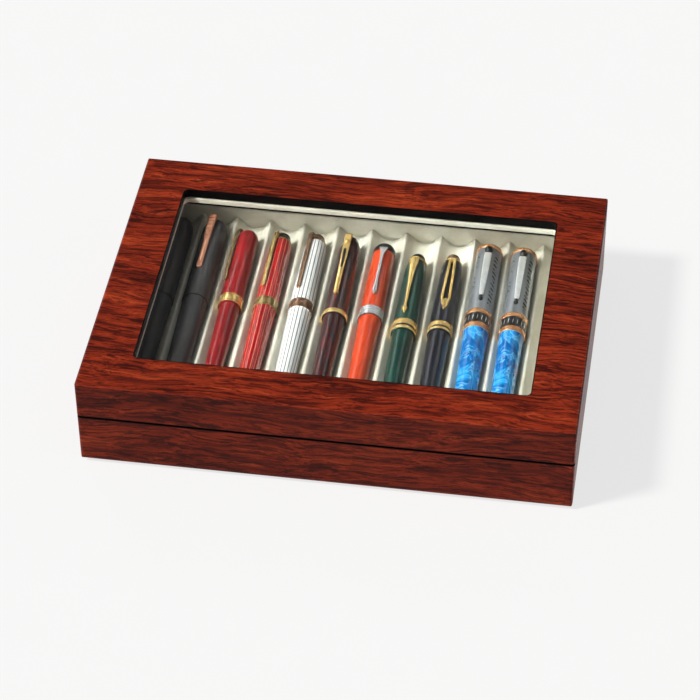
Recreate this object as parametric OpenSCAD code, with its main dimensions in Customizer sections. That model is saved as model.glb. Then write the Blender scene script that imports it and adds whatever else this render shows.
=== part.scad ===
// Display case for fountain pens: a veneered box with a hinged, glazed lid and a velvet
// tray of parallel grooves, shown with its pens in place.
//
// Frame: origin at the centre of the underside, X along the length, Y towards the hinges, Z up.

/* [Case] */
// Length of the case along X
case_w = 280; // [270:1:320]
// Depth of the case from front to back
case_d = 206; // [202:1:230]
// Height of the closed case
case_h = 59; // [58:0.5:66]
// Thickness of the wooden walls
wall_t = 10; // [9:0.5:12]
// Height of the middle of the gap between base and lid
parting_z = 35; // [34.5:0.5:36]
// Height of the shadow gap between base and lid
parting_gap = 1.2; // [0.8:0.1:1.6]
// Radius of the upright outer corners
corner_r = 2; // [1:0.5:3]
// Radius of the roundover along the bottom edges
bottom_r = 4.2; // [2:0.2:5]
// Radius of the eased top edges
top_r = 1; // [0.5:0.1:2]
// Thickness of the felt under the case
felt_t = 1; // [0.8:0.1:2]
// Thickness of the bottom board
bottom_t = 4; // [3:0.5:5]

/* [Window] */
// Width of the window
window_w = 225; // [200:1:230]
// Depth of the window
window_d = 152.8; // [140:0.2:156]
// Corner radius of the window
window_r = 3.5; // [2.5:0.5:5]
// Thickness of the glass
glass_t = 2; // [1.5:0.1:2.5]
// How far the glass reaches under the window's edge
glass_lap = 3; // [2:0.5:4]
// Thickness of the top panel, with the rebate for the glass
top_t = 7.4; // [6.5:0.1:8]
// Thickness of the padded frame that holds the glass
retainer_t = 4.1; // [3:0.1:4.5]
// Thickness of the black band on the window's edge
band_t = 0.6; // [0.4:0.1:1]

/* [Tray] */
// Number of grooves
slot_count = 12; // [11:1:12]
// Distance between neighbouring grooves
slot_pitch = 20.83; // [20.5:0.01:21]
// Radius of a groove
groove_r = 8.2; // [8.1:0.05:8.6]
// Height of a groove's floor
groove_floor = 21.8; // [20:0.1:22.4]
// Steepness of the sides between two grooves, in degrees
groove_flank = 50; // [46:1:54]
// Radius of the ridges' rounded tops
ridge_r = 1.2; // [0.8:0.1:1.6]
// Thickness of the covered boards that line the base and the lid
liner_t = 3; // [2:0.5:3]

/* [Hinges] */
// Distance of each hinge from the middle of the back
hinge_x = 80; // [60:5:100]
// Length of a hinge
hinge_l = 30; // [25:1:40]
// Height of one leaf on the wood
leaf_h = 12; // [10:1:15]
// Thickness of a leaf
leaf_t = 1; // [0.8:0.1:1.2]
// Radius of the knuckles
knuckle_r = 1.8; // [1.6:0.1:1.9]
// Radius of the hinge pin
pin_r = 0.9; // [0.8:0.05:1]
// Radius of the hinge screws' shanks
screw_r = 0.9; // [0.7:0.1:1]
// Angle at which the hinges' stops meet
stop_angle = 96; // [92:1:100]

/* [Pens] */
// Space between a pen and the groove that it lies in
pen_clear = 0.3; // [0.3:0.05:0.4]
// Height of a clip's outer face above the cap's side
clip_rise = 1.7; // [1.5:0.1:2]

/* [Hidden] */
$fn = 64;
eps = 0.01;

// Case heights
rim_z = parting_z - parting_gap / 2;
lid_z = parting_z + parting_gap / 2;
lid_wall_top = case_h - top_t;
floor_z = felt_t + bottom_t;
inner_w = case_w - 2 * wall_t;
inner_d = case_d - 2 * wall_t;
felt_inset = 8;

// Boards that line the base and the lid meet inside the shadow gap
liner_gap = 0.1;
liner_top = parting_z - liner_gap;
lining_bottom = parting_z + liner_gap;
lined_w = inner_w - 2 * liner_t;
lined_d = inner_d - 2 * liner_t;
board_joint = 0.05;

// Glass in its rebate, with the padded frame below it
glass_gap = 0.1;
glass_z = lid_wall_top;
rebate_w = window_w + 2 * (glass_lap + 0.3);
rebate_d = window_d + 2 * (glass_lap + 0.3);
rebate_top = glass_z + glass_t + glass_gap;
retainer_z = lid_wall_top - retainer_t;

// Tray
tray_gap = 0.2;
tray_w = lined_w - 2 * tray_gap;
tray_d = lined_d - 2 * tray_gap;
flank_x = slot_pitch / 2 - groove_r * sin(groove_flank);
flank_top = groove_floor + groove_r * (1 - cos(groove_flank)) + flank_x * tan(groove_flank);
ridge_z = flank_top - ridge_r * (1 / cos(groove_flank) - 1);

// Hinges
axis_y = case_d / 2 + knuckle_r + 0.2;
knuckle_n = 5;
knuckle_l = hinge_l / knuckle_n;
knuckle_gap = 0.1;
pin_fit = 0.05;
leaf_clear = 0.25;
screw_x = 9;
screw_drop = 7.5;
screw_l = 8.5;
head_r = 1.9;
head_t = 0.95;
stop_r = 4.9;

// Pens: [slot, cap lip y, cap length, cap radius at the lip, cap radius at its shoulder,
//        length of the rounded end, roundness of the end, barrel radius, barrel length, clip]
// A roundness of 2 is a half ellipse, and more is squarer.
pens = [
    [1, 5.0, 74, 7.9, 7.6, 13, 2.2, 7.5, 76, "turned"],
    [2, 5.5, 74, 7.9, 7.6, 13, 2.2, 7.5, 76, "plain"],
    [3, 4.6, 68, 7.0, 6.6, 9, 2.3, 6.1, 72, "side"],
    [4, 4.0, 69, 7.1, 6.5, 13, 2.1, 6.7, 72, "blade"],
    [5, 5.0, 69.7, 7.1, 6.5, 14, 2.1, 6.7, 72, "blade"],
    [6, 2.5, 73.5, 7.4, 6.6, 18, 2.0, 6.5, 70, "slotted"],
    [7, 3.9, 61, 7.1, 6.6, 1, 3.0, 6.5, 70, "drop"],
    [8, -5.5, 69.5, 7.4, 6.5, 22, 2.4, 6.4, 68, "ball"],
    [9, -3.2, 70.6, 7.1, 6.3, 16, 2.2, 6.5, 70, "loop"],
    [10, 1.3, 71.2, 7.7, 7.5, 1, 3.0, 7.3, 72, "broad"],
    [11, 0.5, 71.2, 7.7, 7.5, 1, 3.0, 7.3, 72, "broad"]
];

// Bands on the caps: [slot, start above the lip, width, how far it stands proud]
bands = [
    [1, 0, 0.6, 0.05],
    [2, 0, 0.6, 0.05],
    [3, 0.2, 6.6, 0.25],
    [4, 0.2, 7.4, 0.2],
    [5, 0.2, 7.6, 0.2],
    [6, 0.2, 3.3, 0.3],
    [7, 0.2, 8.2, 0.3],
    [8, 0.2, 2.8, 0.3],
    [8, 3.6, 4.6, 0.35],
    [9, 0.8, 1.5, 0.3],
    [9, 3.2, 4.2, 0.3],
    [10, 0.2, 3.6, 0.3],
    [10, 3.8, 8.2, 0.1],
    [10, 12, 3.4, 0.3],
    [11, 0.2, 3.6, 0.3],
    [11, 3.8, 8.2, 0.1],
    [11, 12, 3.4, 0.3]
];

// Ends of the caps: [slot, length of the cap that is cut off for it, radius of the collar,
//                    length of the collar, radius of the jewel, length of the jewel]
finials = [
    [4, 3.4, 4.8, 0.6, 4.5, 3.0],
    [5, 3.2, 4.6, 0.6, 4.3, 2.6],
    [7, 0, 6.7, 2.4, 6.1, 3.9],
    [8, 4, 4.6, 1.0, 4.0, 3.6],
    [9, 2.6, 4.0, 1.0, 3.6, 1.6],
    [10, 0, 7.9, 2.4, 5.6, 1.4],
    [11, 0, 7.9, 2.4, 5.6, 1.4]
];

// Clips: [style, turn to the right of the top, distance of its root from the cap's end, length,
//         half widths at even steps from its root to its end, radius of the end, wall of its slot]
clips = [
    ["plain", -12, 3.2, 47.4, [2.2, 2.7, 2.5, 2.3, 1.8, 1.7, 1.7], 1.8, 0],
    ["turned", -72, 3.2, 47.4, [2.2, 2.7, 2.5, 2.3, 1.8, 1.7, 1.7], 1.8, 0],
    ["side", -52, 3, 45, [1.8, 2.0, 2.0, 1.8, 1.6, 1.3, 1.0], 1.0, 0],
    ["blade", -26, 3, 49.5, [1.6, 1.7, 1.7, 1.65, 1.6, 1.6, 1.5], 1.2, 0],
    ["slotted", -10, 5, 52, [1.9, 2.3, 2.2, 2.0, 1.7, 1.6, 1.5], 1.6, 0],
    ["drop", 0, 0.2, 43.8, [2.6, 1.5, 0.9, 0.85, 0.85, 0.95, 1.2], 1.3, 0],
    ["ball", -8, 5.2, 49.1, [2.2, 2.7, 2.2, 1.7, 1.2, 0.9, 0.8], 1.7, 0],
    ["loop", 4, 4.5, 49.8, [1.6, 1.9, 2.2, 2.5, 2.8, 2.9, 0.6], 0.7, 1.3],
    ["broad", 0, 2.2, 45.5, [1.8, 2.1, 2.0, 1.9, 1.7, 1.5, 1.2], 1.4, 0]
];

pen_colors = ["#2b2a2c", "#2b2a2c", "#9c1d22", "#b01a20", "#c9c9cb", "#3a2222",
              "#e2481c", "#173b33", "#22222a", "#7d8287", "#7d8287"];
barrel_colors = ["#2b2a2c", "#2b2a2c", "#9c1d22", "#b01a20", "#c9c9cb", "#3a2222",
                 "#e2481c", "#173b33", "#22222a", "#2b7fd0", "#2b7fd0"];
trim_colors = ["#c98a6b", "#c98a6b", "#b79a4a", "#a58f4c", "#8a6650", "#cda34a",
               "#c8c8cc", "#d9ab4e", "#d9ab4e", "#b9793f", "#b9793f"];

wood = "#7c2a1c";
ivory = "#e6e0d0";
ink = "#1a1716";
brass = "#c9a552";

function pen_name(pen, piece) = str("pen_", pen[0] < 10 ? "0" : "", pen[0], "_", piece);

// ---- Shapes that repeat ----

// A rectangle centred on the origin, with round corners
module round_rect(w, d, r) {
    square([w - 2 * r, d], center = true);
    square([w, d - 2 * r], center = true);
    for (x = [-1, 1], y = [-1, 1]) {
        translate([x * (w / 2 - r), y * (d / 2 - r)]) circle(r);
    }
}

// The end of a block seen square on, centred across, with its own radius below and above
module eased_section(w, z0, z1, r_low, r_high) {
    difference() {
        translate([-w / 2, z0]) square([w, z1 - z0]);
        for (side = [-1, 1]) {
            if (r_low > 0) {
                translate([side * w / 2, z0]) corner_waste(r_low);
            }
            if (r_high > 0) {
                translate([side * w / 2, z1]) corner_waste(r_high);
            }
        }
    }
}

// What a roundover takes off a corner at the origin, drawn for all four directions
module corner_waste(r) {
    difference() {
        square(2 * r, center = true);
        for (x = [-1, 1], y = [-1, 1]) {
            translate([x * r, y * r]) circle(r);
        }
    }
}

// A block with eased long edges and round upright corners
module eased_block(z0, z1, r_low, r_high) {
    intersection() {
        rotate([90, 0, 0])
            linear_extrude(case_d, center = true) eased_section(case_w, z0, z1, r_low, r_high);
        rotate([90, 0, 90])
            linear_extrude(case_w, center = true) eased_section(case_d, z0, z1, r_low, r_high);
        translate([0, 0, z0]) linear_extrude(z1 - z0) round_rect(case_w, case_d, corner_r);
    }
}

// The mitred outline of the front (0), right (1), back (2) or left (3) wall
module wall_plan(side) {
    long = side % 2 == 0 ? case_w : case_d;
    across = side % 2 == 0 ? case_d : case_w;
    rotate(side * 90)
        polygon([[-long / 2, -across / 2], [long / 2, -across / 2],
                 [long / 2 - wall_t, -across / 2 + wall_t],
                 [-long / 2 + wall_t, -across / 2 + wall_t]]);
}

module base_wall(side) {
    color(wood) difference() {
        intersection() {
            eased_block(felt_t, rim_z, bottom_r, 0);
            linear_extrude(case_h) wall_plan(side);
        }
        if (side == 2) {
            hinge_screw_holes(-1);
        }
    }
}

module lid_wall(side) {
    color(wood) difference() {
        intersection() {
            eased_block(lid_z, lid_wall_top, 0, 0);
            linear_extrude(case_h) wall_plan(side);
        }
        if (side == 2) {
            hinge_screw_holes(1);
        }
    }
}

// Four boards standing against the inside of the walls
module liner_boards(z0, z1) {
    for (y = [-1, 1]) {
        translate([-inner_w / 2, y * (inner_d - liner_t) / 2 - liner_t / 2, z0])
            cube([inner_w, liner_t, z1 - z0]);
    }
    for (x = [-1, 1]) {
        translate([x * (inner_w - liner_t) / 2 - liner_t / 2, -lined_d / 2 + board_joint, z0])
            cube([liner_t, lined_d - 2 * board_joint, z1 - z0]);
    }
}

// ---- Base ----

module base_bottom_board() {
    color("#5a3a28") translate([-inner_w / 2, -inner_d / 2, felt_t])
        cube([inner_w, inner_d, bottom_t]);
}

module felt_pad() {
    color("#201c1b")
        linear_extrude(felt_t) round_rect(case_w - 2 * felt_inset, case_d - 2 * felt_inset, corner_r);
}

module base_liner_boards() {
    color(ivory) liner_boards(floor_z, liner_top);
}

// The middle of a groove, counted from 1 at the left
function slot_x(slot) = (slot - (slot_count + 1) / 2) * slot_pitch;

// Cross section over one groove, from the top of the ridge on its left to that on its right
function groove_section(x) =
    let (near = x - slot_pitch / 2, far = x + slot_pitch / 2, centre = ridge_z - ridge_r)
    concat([for (i = [0:5]) let (a = groove_flank * i / 5)
                [near + ridge_r * sin(a), centre + ridge_r * cos(a)]],
           [for (i = [-8:8]) let (a = groove_flank * i / 8)
                [x + groove_r * sin(a), groove_floor + groove_r * (1 - cos(a))]],
           [for (i = [-5:-1]) let (a = groove_flank * i / 5)
                [far + ridge_r * sin(a), centre + ridge_r * cos(a)]]);

module pen_tray() {
    color(ivory) rotate([90, 0, 0]) linear_extrude(tray_d, center = true) polygon(concat(
        [[tray_w / 2, floor_z], [-tray_w / 2, floor_z], [-tray_w / 2, ridge_z]],
        [for (slot = [1:slot_count]) each groove_section(slot_x(slot))],
        [[slot_x(slot_count) + slot_pitch / 2, ridge_z], [tray_w / 2, ridge_z]]));
}

// ---- Lid ----

module lid_top_panel() {
    color(wood) difference() {
        eased_block(lid_wall_top, case_h, 0, top_r);
        translate([0, 0, lid_wall_top - eps])
            linear_extrude(top_t + 2 * eps) round_rect(window_w, window_d, window_r);
        translate([0, 0, lid_wall_top - eps])
            linear_extrude(rebate_top - lid_wall_top + eps) round_rect(rebate_w, rebate_d, window_r);
    }
}

module window_edge_band() {
    color(ink) translate([0, 0, rebate_top]) linear_extrude(case_h - rebate_top) difference() {
        round_rect(window_w, window_d, window_r);
        round_rect(window_w - 2 * band_t, window_d - 2 * band_t, window_r - band_t);
    }
}

module glass_pane() {
    color([0.85, 0.92, 0.9, 0.3]) translate([0, 0, glass_z]) linear_extrude(glass_t)
        round_rect(window_w + 2 * glass_lap, window_d + 2 * glass_lap, window_r - 0.3);
}

module glass_retainer() {
    color(ivory) translate([0, 0, retainer_z]) linear_extrude(retainer_t - glass_gap) difference() {
        square([inner_w - 2 * tray_gap, inner_d - 2 * tray_gap], center = true);
        round_rect(window_w, window_d, window_r);
    }
}

module lid_lining_boards() {
    color(ink) liner_boards(lining_bottom, retainer_z);
}

// ---- Hinges ----

// Runs its children once at each hinge, with X along the pin and the pin's middle at the origin
module at_hinges() {
    for (x = [-hinge_x, hinge_x]) {
        translate([x, axis_y, parting_z]) children();
    }
}

// One screw on each side of a leaf's middle, with Z out of the wood
module at_screws(half) {
    for (x = [-screw_x, screw_x]) {
        translate([x, case_d / 2 - axis_y + leaf_t, half * screw_drop]) rotate([-90, 0, 0]) children();
    }
}

// A countersunk screw whose head is flush with the leaf
module screw(grow) {
    translate([0, 0, -head_t]) cylinder(r1 = screw_r + grow, r2 = head_r + grow, h = head_t);
    translate([0, 0, -screw_l]) cylinder(r = screw_r + grow, h = screw_l - head_t + eps);
}

module hinge_screw_holes(half) {
    at_hinges() at_screws(half) screw(0.05);
}

// The block on a leaf that meets its twin when the lid is open, seen along the pin
module stop_outline(half) {
    gap = (180 - stop_angle) / 2;
    face = 90 - gap;
    inner = knuckle_r + leaf_clear;
    back = case_d / 2 - axis_y;
    arc = [for (i = [0:4]) face + (118 - face) * i / 4];
    polygon(concat(
        [[stop_r * cos(face), half * stop_r * sin(face)]],
        [for (a = arc) [inner * cos(a), half * inner * sin(a)]],
        [[back + leaf_t / 2, half * inner], [back + leaf_t / 2, half * (stop_r + 1.6)]]
    ));
}

// The knuckles with even numbers belong to the base, and the odd ones to the lid
module leaf(half) {
    own = half < 0 ? [0:2:knuckle_n - 1] : [1:2:knuckle_n - 1];
    back = case_d / 2 - axis_y;
    near = parting_gap / 2 + 0.1;
    difference() {
        union() {
            translate([-hinge_l / 2, back, half < 0 ? -leaf_h : near])
                cube([hinge_l, leaf_t, leaf_h - near]);
            for (i = own) {
                translate([-hinge_l / 2 + i * knuckle_l + knuckle_gap, 0, 0]) knuckle(half);
            }
            translate([-knuckle_l / 2 + knuckle_gap, 0, 0]) rotate([90, 0, 90])
                linear_extrude(knuckle_l - 2 * knuckle_gap) stop_outline(half);
        }
        rotate([0, 90, 0]) cylinder(r = pin_r + pin_fit, h = hinge_l + 2, center = true);
        for (i = [0:knuckle_n - 1]) {
            if (i % 2 == (half < 0 ? 1 : 0)) {
                translate([-hinge_l / 2 + i * knuckle_l, 0, 0]) rotate([0, 90, 0])
                    cylinder(r = knuckle_r + leaf_clear - eps, h = knuckle_l);
            }
        }
        at_screws(half) screw(0.02);
    }
}

// A curl round the pin, with the web that joins it to its leaf
module knuckle(half) {
    length = knuckle_l - 2 * knuckle_gap;
    back = case_d / 2 - axis_y;
    web = parting_gap / 2 + 0.1;
    rotate([0, 90, 0]) cylinder(r = knuckle_r, h = length);
    translate([0, back, half < 0 ? -knuckle_r - 0.8 : web])
        cube([length, leaf_t, knuckle_r + 0.8 - web]);
    translate([0, back, half < 0 ? -knuckle_r : web])
        cube([length, -back, knuckle_r - web]);
}

module hinge_base_leaves() {
    color(brass) at_hinges() leaf(-1);
}

module hinge_lid_leaves() {
    color(brass) at_hinges() leaf(1);
}

module hinge_pins() {
    color("#b08d3f") at_hinges() rotate([0, 90, 0]) cylinder(r = pin_r, h = hinge_l, center = true);
}

module hinge_base_screws() {
    color("#d8b866") at_hinges() at_screws(-1) screw(0);
}

module hinge_lid_screws() {
    color("#d8b866") at_hinges() at_screws(1) screw(0);
}

// ---- Pens ----

// Radius of a rounded end at a share of its length, from 0 at the shoulder to 1 at the tip
function end_radius(share, r, power) = r * pow(max(0, 1 - pow(share, power)), 1 / power);

// Radius of a cap at a height above its lip
function cap_radius(pen, y) =
    let (straight = pen[2] - pen[5])
    y <= straight
        ? pen[3] + (pen[4] - pen[3]) * y / straight
        : end_radius((y - straight) / pen[5], pen[4], pen[6]);

// Half section of a cap, from the lip up to the tip
function cap_outline(pen) =
    let (straight = pen[2] - pen[5], steps = 16)
    concat([[0, 0], [pen[3], 0]],
           [for (i = [0:steps]) let (y = straight + pen[5] * sin(90 * i / steps))
                [max(0.02, cap_radius(pen, y)), y]],
           [[0, pen[2]]]);

// Half section of a barrel, from the lip down to the tail
function barrel_outline(pen) =
    let (len = pen[8], steps = 14, taper = 0.86, round_l = 12, straight = len - round_l)
    concat([[0, 0], [pen[7], 0]],
           [for (i = [0:steps]) let (share = sin(90 * i / steps))
                [max(0.02, end_radius(share, pen[7] * taper, 2.2)), -straight - round_l * share]],
           [[0, -len]]);

spigot_r = 4.8;
spigot_l = 16;

// A pen rests on its lip and near its tail, so it lies a little tail down
function pen_tilt(pen) = asin((pen[3] - pen[7] * 0.95) / (0.7 * pen[8]));

// Places a pen in its groove, drawn with its lip at the origin and its cap along +Z
module in_groove(pen) {
    translate([slot_x(pen[0]), pen[1], groove_floor + pen_clear + pen[3] + 0.1])
        rotate([pen_tilt(pen), 0, 0]) rotate([-90, 0, 0]) children();
}

module band_waste(pen) {
    for (band = bands) {
        if (band[0] == pen[0]) {
            difference() {
                translate([0, 0, band[1]]) cylinder(r = pen[3] + 2, h = band[2]);
                translate([0, 0, band[1] - eps])
                    cylinder(r = cap_radius(pen, band[1]) - 0.5, h = band[2] + 2 * eps);
            }
        }
    }
}

module pen_cap(pen) {
    color(pen_colors[pen[0] - 1]) in_groove(pen) difference() {
        rotate_extrude() polygon(cap_outline(pen));
        translate([0, 0, -eps]) cylinder(r = spigot_r + 0.05, h = spigot_l + 0.1);
        band_waste(pen);
        for (end = finials) {
            if (end[0] == pen[0] && end[1] > 0) {
                translate([0, 0, pen[2] - end[1]]) cylinder(r = pen[3], h = end[1] + 1);
            }
        }
    }
}

module pen_barrel(pen) {
    color(barrel_colors[pen[0] - 1]) in_groove(pen) union() {
        translate([0, 0, -0.05]) rotate_extrude() polygon(barrel_outline(pen));
        translate([0, 0, -1]) cylinder(r = spigot_r, h = spigot_l + 1);
    }
}

// Side view of a clip: the arm stands off the cap and comes back to it at its end
module clip_side(pen, clip) {
    top = pen[2] - clip[2];
    end = top - clip[3];
    root = cap_radius(pen, top - 3) - 0.6;
    low = cap_radius(pen, end) + 0.3;
    high = pen[4] + clip_rise;
    polygon([[min(root, cap_radius(pen, top) - 0.6), top], [high - 0.6, top], [high, top - 1],
             [high, top - 6], [low + 1.5, end + 5], [low + 0.9, end], [low, end],
             [low + 0.5, end + 5], [high - 1.1, top - 6], [high - 1.1, top - 3], [root, top - 3]]);
}

// Front view of a clip, from its root down to its end
module clip_front(pen, clip) {
    top = pen[2] - clip[2];
    steps = len(clip[4]) - 1;
    polygon(concat(
        [for (i = [0:steps]) [clip[4][i], top - clip[3] * i / steps]],
        [for (i = [steps:-1:0]) [-clip[4][i], top - clip[3] * i / steps]]));
}

module clip_arm(pen, clip) {
    end = pen[2] - clip[2] - clip[3];
    intersection() {
        rotate([90, 0, 0]) linear_extrude(8, center = true) clip_side(pen, clip);
        rotate([90, 0, 90]) linear_extrude(12) difference() {
            clip_front(pen, clip);
            if (clip[6] > 0) {
                intersection() {
                    offset(delta = -clip[6]) clip_front(pen, clip);
                    translate([-5, end]) square([10, clip[3] - 9]);
                }
            }
        }
    }
    translate([cap_radius(pen, end) + 0.3 + clip[5] * 0.6, 0, end]) intersection() {
        sphere(clip[5]);
        translate([-clip[5] * 0.6, -clip[5], -clip[5]]) cube([3 * clip[5], 2 * clip[5], 2 * clip[5]]);
    }
}

module pen_trim(pen) {
    number = pen[0];
    color(trim_colors[number - 1]) in_groove(pen) {
        for (band = bands) {
            if (band[0] == number) {
                translate([0, 0, band[1]]) difference() {
                    cylinder(r = cap_radius(pen, band[1]) + band[3], h = band[2]);
                    translate([0, 0, -eps])
                        cylinder(r = cap_radius(pen, band[1]) - 0.5, h = band[2] + 2 * eps);
                }
            }
        }
        for (clip = clips) {
            if (clip[0] == pen[9]) {
                difference() {
                    rotate(-90 + clip[1]) clip_arm(pen, clip);
                    rotate_extrude() polygon(cap_outline(pen));
                }
            }
        }
        for (end = finials) {
            if (end[0] == number) {
                finial(pen, end);
            }
        }
    }
}

// A collar and a domed jewel on the end of a cap
module finial(pen, end) {
    translate([0, 0, pen[2] - end[1]]) {
        cylinder(r = end[2], h = end[3]);
        translate([0, 0, end[3]]) rotate_extrude() polygon(concat(
            [[0, 0]],
            [for (i = [0:6]) [max(0.02, end[4] * cos(15 * i)), end[5] * sin(15 * i)]],
            [[0, end[5]]]));
    }
}

// ---- Nodes ----

base_wall(0);  // base_front_wall
base_wall(1);  // base_right_wall
base_wall(2);  // base_back_wall
base_wall(3);  // base_left_wall
base_bottom_board();
felt_pad();
base_liner_boards();
pen_tray();
lid_wall(0);  // lid_front_wall
lid_wall(1);  // lid_right_wall
lid_wall(2);  // lid_back_wall
lid_wall(3);  // lid_left_wall
lid_top_panel();
window_edge_band();
glass_pane();
glass_retainer();
lid_lining_boards();
hinge_base_leaves();
hinge_lid_leaves();
hinge_pins();
hinge_base_screws();
hinge_lid_screws();
for (pen = pens) {
    pen_barrel(pen);
    pen_cap(pen);
    pen_trim(pen);
}
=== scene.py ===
"""Looks of the fountain pen case: lacquered rosewood, ivory velvet, glass, and the pens in their grooves."""

import math

import bpy
from mathutils import Matrix, Vector


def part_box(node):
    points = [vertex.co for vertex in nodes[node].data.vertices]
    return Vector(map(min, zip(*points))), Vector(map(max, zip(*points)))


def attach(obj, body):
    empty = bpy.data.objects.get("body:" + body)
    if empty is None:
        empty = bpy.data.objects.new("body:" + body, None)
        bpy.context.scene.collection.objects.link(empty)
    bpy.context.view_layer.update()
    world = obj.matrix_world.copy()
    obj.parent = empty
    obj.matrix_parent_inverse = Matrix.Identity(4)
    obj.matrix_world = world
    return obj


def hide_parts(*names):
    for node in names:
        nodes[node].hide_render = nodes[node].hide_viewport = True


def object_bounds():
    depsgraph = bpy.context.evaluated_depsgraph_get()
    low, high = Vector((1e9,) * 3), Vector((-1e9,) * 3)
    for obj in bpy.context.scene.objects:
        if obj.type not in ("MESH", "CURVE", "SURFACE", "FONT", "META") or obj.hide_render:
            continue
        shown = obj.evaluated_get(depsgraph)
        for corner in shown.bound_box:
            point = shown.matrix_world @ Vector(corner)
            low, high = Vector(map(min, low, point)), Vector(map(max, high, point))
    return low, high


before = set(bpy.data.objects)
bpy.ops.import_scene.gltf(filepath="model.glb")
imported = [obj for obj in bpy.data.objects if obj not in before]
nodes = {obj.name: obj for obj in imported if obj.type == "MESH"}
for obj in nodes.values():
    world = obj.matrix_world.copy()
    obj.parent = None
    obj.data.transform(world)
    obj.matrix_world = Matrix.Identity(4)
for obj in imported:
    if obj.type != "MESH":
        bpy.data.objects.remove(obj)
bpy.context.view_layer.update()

MM = 0.001
TURN = 2 * math.pi
# The middle of the gap between the base and the lid, in millimetres
PARTING = (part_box("base_front_wall")[1][2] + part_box("lid_front_wall")[0][2]) / 2 / MM


# ---- mesh helpers

def lerp(a, b, t):
    """a at t 0, b at t 1."""
    return a + (b - a) * t


def smoothstep(t):
    """0 to 1 with level ends."""
    t = min(1.0, max(0.0, t))
    return t * t * (3 - 2 * t)


def new_object(name, verts, faces, material, matrix=None, sharp=40.0):
    """A mesh object from points in millimetres, smooth but for its sharp edges."""
    mesh = bpy.data.meshes.new(name)
    mesh.from_pydata([tuple(c * MM for c in v) for v in verts], [], faces)
    mesh.validate()
    mesh.shade_smooth()
    mesh.set_sharp_from_angle(angle=math.radians(sharp))
    mesh.materials.append(material)
    obj = bpy.data.objects.new(name, mesh)
    bpy.context.scene.collection.objects.link(obj)
    if matrix is not None:
        obj.matrix_world = matrix
    return obj


def loft(rings, wrap=False):
    """Quads between rings of equal length. Open ends are closed with one face each unless wrap joins them."""
    count = len(rings[0])
    verts = [point for ring in rings for point in ring]
    faces = []
    last = len(rings) if wrap else len(rings) - 1
    for i in range(last):
        a = i * count
        b = (i + 1) % len(rings) * count
        for j in range(count):
            k = (j + 1) % count
            faces.append((a + j, a + k, b + k, b + j))
    if not wrap:
        faces.append(tuple(range(count))[::-1])
        faces.append(tuple((len(rings) - 1) * count + j for j in range(count)))
    return verts, faces


def fillet(points, radius, steps=4):
    """An open outline whose inner corners are rounded by arcs."""
    result = [points[0]]
    for before, corner, after in zip(points, points[1:], points[2:]):
        c = Vector(corner)
        to_before = Vector(before) - c
        to_after = Vector(after) - c
        if to_before.length < 1e-6 or to_after.length < 1e-6:
            continue
        reach = min(radius, to_before.length * 0.45, to_after.length * 0.45)
        start = c + to_before.normalized() * reach
        end = c + to_after.normalized() * reach
        for i in range(steps + 1):
            t = i / steps
            p = start * (1 - t) ** 2 + c * 2 * t * (1 - t) + end * t ** 2
            result.append((p.x, p.y))
    result.append(points[-1])
    return result


def lathe(outline, segments=96, flutes=0, flute_depth=0.0, flute_width=0.3):
    """A closed solid of revolution about Z from (radius, height) points that start and end on the axis."""
    inner = outline[1:-1]
    verts = [(0.0, 0.0, outline[0][1]), (0.0, 0.0, outline[-1][1])]
    for radius, height in inner:
        for j in range(segments):
            angle = TURN * j / segments
            r = radius
            if flutes:
                phase = (angle * flutes / TURN) % 1.0
                dip = max(0.0, 1 - abs(phase - 0.5) / (flute_width / 2))
                r -= flute_depth * smoothstep(dip) * min(1.0, radius / 3)
            verts.append((r * math.cos(angle), r * math.sin(angle), height))
    faces = []
    for i in range(len(inner) - 1):
        a = 2 + i * segments
        b = a + segments
        for j in range(segments):
            k = (j + 1) % segments
            faces.append((a + j, a + k, b + k, b + j))
    top = 2 + (len(inner) - 1) * segments
    for j in range(segments):
        k = (j + 1) % segments
        faces.append((0, 2 + k, 2 + j))
        faces.append((1, top + j, top + k))
    return verts, faces


def ring(inner, outer, z0, z1, edge=0.15, segments=96, crown=0.0):
    """A band round Z with softened outer edges, crowned by a little if asked."""
    middle = (z0 + z1) / 2
    face = [(outer, z0), (outer + crown, middle), (outer, z1)] if crown else [(outer, z0), (outer, z1)]
    outline = fillet([(inner, z0)] + face + [(inner, z1)], edge, 5)
    rings = [
        [(r * math.cos(TURN * j / segments), r * math.sin(TURN * j / segments), z) for j in range(segments)]
        for r, z in outline
    ]
    return loft(rings, wrap=True)


def catmull(points, per_span=8):
    """A smooth run of tuples through all the given tuples."""
    padded = [points[0]] + list(points) + [points[-1]]
    result = []
    for p0, p1, p2, p3 in zip(padded, padded[1:], padded[2:], padded[3:]):
        for i in range(per_span):
            t = i / per_span
            result.append(tuple(
                0.5 * (2 * b + (c - a) * t + (2 * a - 5 * b + 4 * c - d) * t ** 2
                       + (3 * b - a - 3 * c + d) * t ** 3)
                for a, b, c, d in zip(p0, p1, p2, p3)
            ))
    result.append(tuple(points[-1]))
    return result


def round_rect_loop(width, depth, radius, z, steps=8):
    """Points of a rectangle with round corners at one height, centred on Z."""
    loop = []
    for quarter, (sx, sy) in enumerate([(1, 1), (-1, 1), (-1, -1), (1, -1)]):
        cx = sx * (width / 2 - radius)
        cy = sy * (depth / 2 - radius)
        for i in range(steps + 1):
            angle = math.radians(90 * (quarter + i / steps))
            loop.append((cx + radius * math.cos(angle), cy + radius * math.sin(angle), z))
    return loop


def soft_edges(low, high, radius, steps=5):
    """(inset, height) points up an upright face whose lower and upper edges are rounded by radius."""
    angles = [math.radians(90 * i / steps) for i in range(steps + 1)]
    lower = [(radius * (1 - math.sin(a)), low + radius * (1 - math.cos(a))) for a in angles]
    upper = [(radius * (1 - math.sin(a)), high - radius * (1 - math.cos(a))) for a in angles[::-1]]
    return lower + upper


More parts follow.
